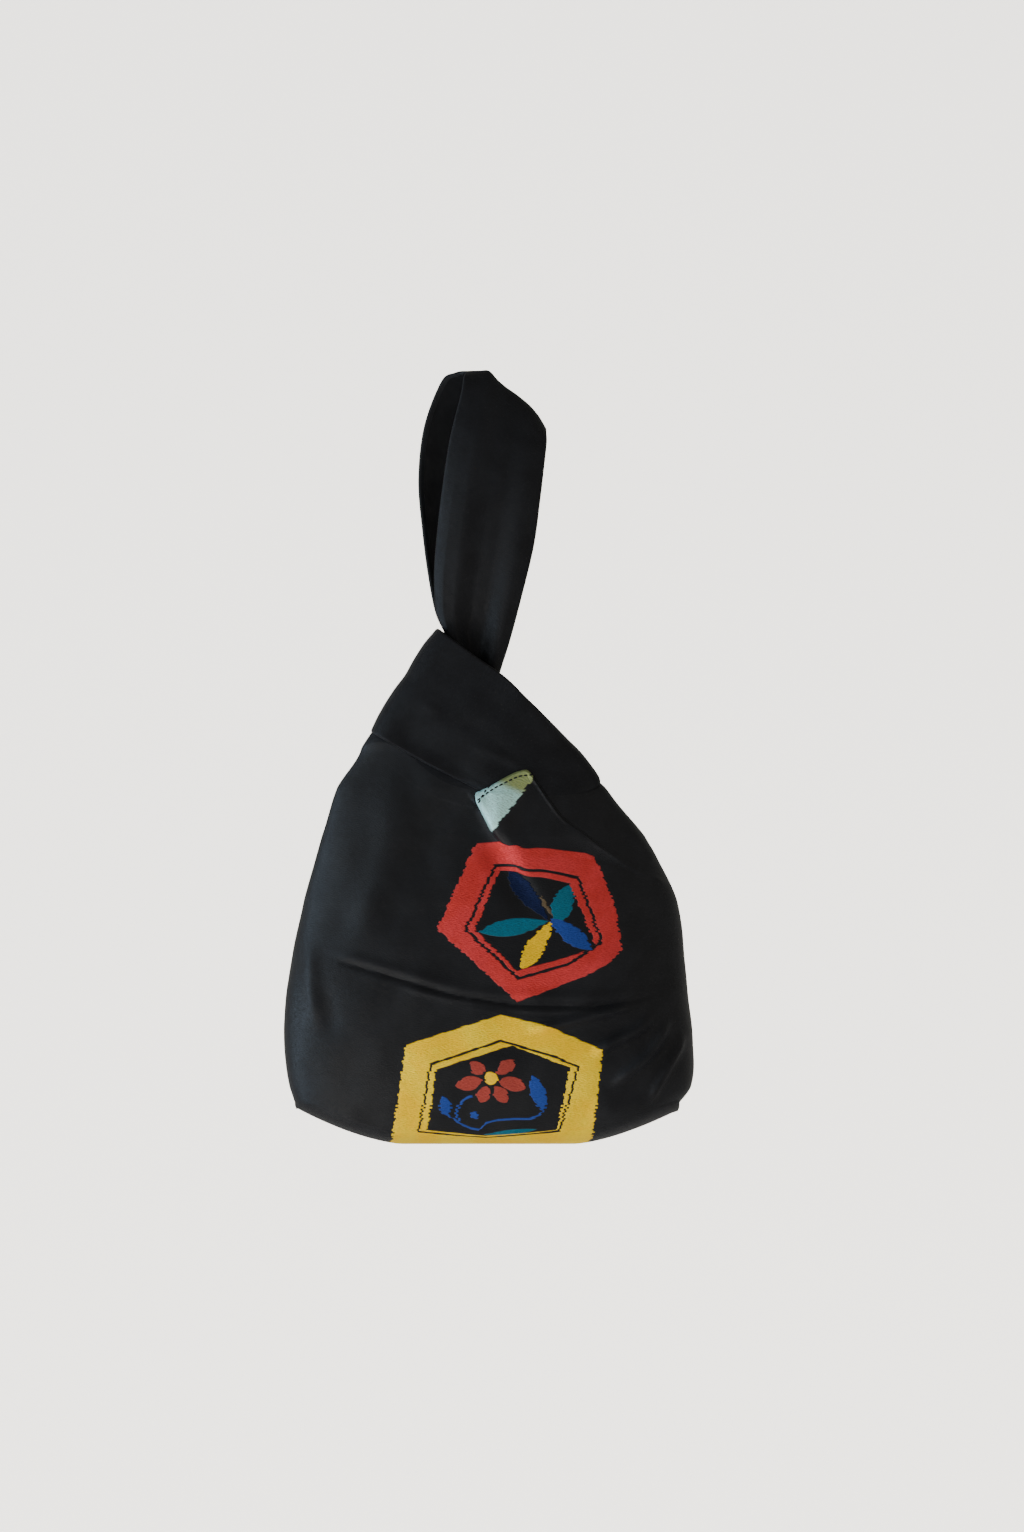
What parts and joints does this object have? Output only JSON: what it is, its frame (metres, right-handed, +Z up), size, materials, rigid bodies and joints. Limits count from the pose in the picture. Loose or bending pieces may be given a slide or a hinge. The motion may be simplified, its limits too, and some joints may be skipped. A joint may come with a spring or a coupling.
{
  "type": "one-handle knot bag",
  "caption": "Lined cloth knot bag with a boxed pouch, a long hand loop on one side and a short keeper loop that wraps the foot of the hand loop and closes the mouth.",
  "frame": {"origin": "inside top of the long handle loop, where a hook carries the bag", "axes": "+Z up along the hanging bag, -Y the bag's front, +X towards the keeper's shoulder, to the right in the front view"},
  "size_m": [0.252, 0.0996, 0.4785],
  "materials": {
    "satin_cloth": "black sash satin with woven hexagons in red, gold, blue and teal",
    "interlining": "soft non-woven felt",
    "lining_cloth": "plain matt black cotton",
    "woven_patch": "pale green woven figure in the satin",
    "stitching": "black polyester thread"
  },
  "bodies": {
    "handle": {"handle_front_cloth": "satin_cloth", "handle_front_interlining": "interlining", "handle_front_lining": "lining_cloth", "handle_back_cloth": "satin_cloth", "handle_back_interlining": "interlining", "handle_back_lining": "lining_cloth"},
    "pouch": {"pouch_front_cloth": "satin_cloth", "pouch_front_interlining": "interlining", "pouch_front_lining": "lining_cloth", "pouch_back_cloth": "satin_cloth", "pouch_back_interlining": "interlining", "pouch_back_lining": "lining_cloth", "base_cloth": "satin_cloth", "base_interlining": "interlining", "base_lining": "lining_cloth", "yoke_front_cloth": "satin_cloth", "yoke_front_interlining": "interlining", "yoke_front_lining": "lining_cloth", "yoke_back_cloth": "satin_cloth", "yoke_back_interlining": "interlining", "yoke_back_lining": "lining_cloth", "neckline_pleat": "woven_patch", "pleat_topstitch": "stitching"},
    "keeper": {"keeper_front_cloth": "satin_cloth", "keeper_front_interlining": "interlining", "keeper_front_lining": "lining_cloth", "keeper_back_cloth": "satin_cloth", "keeper_back_interlining": "interlining", "keeper_back_lining": "lining_cloth"}
  },
  "joints": [
    {"name": "pouch_swing", "type": "hinge", "parent": "handle", "child": "pouch", "pos_m": [-0.00439, 0, -0.1715], "axis": [0.8028, 0, -0.5962], "range_deg": [-35, 35]},
    {"name": "keeper_slide", "type": "slide", "parent": "pouch", "child": "keeper", "axis": [-0.2, 0, 0.9798], "range_m": [0, 0.012]}
  ]
}
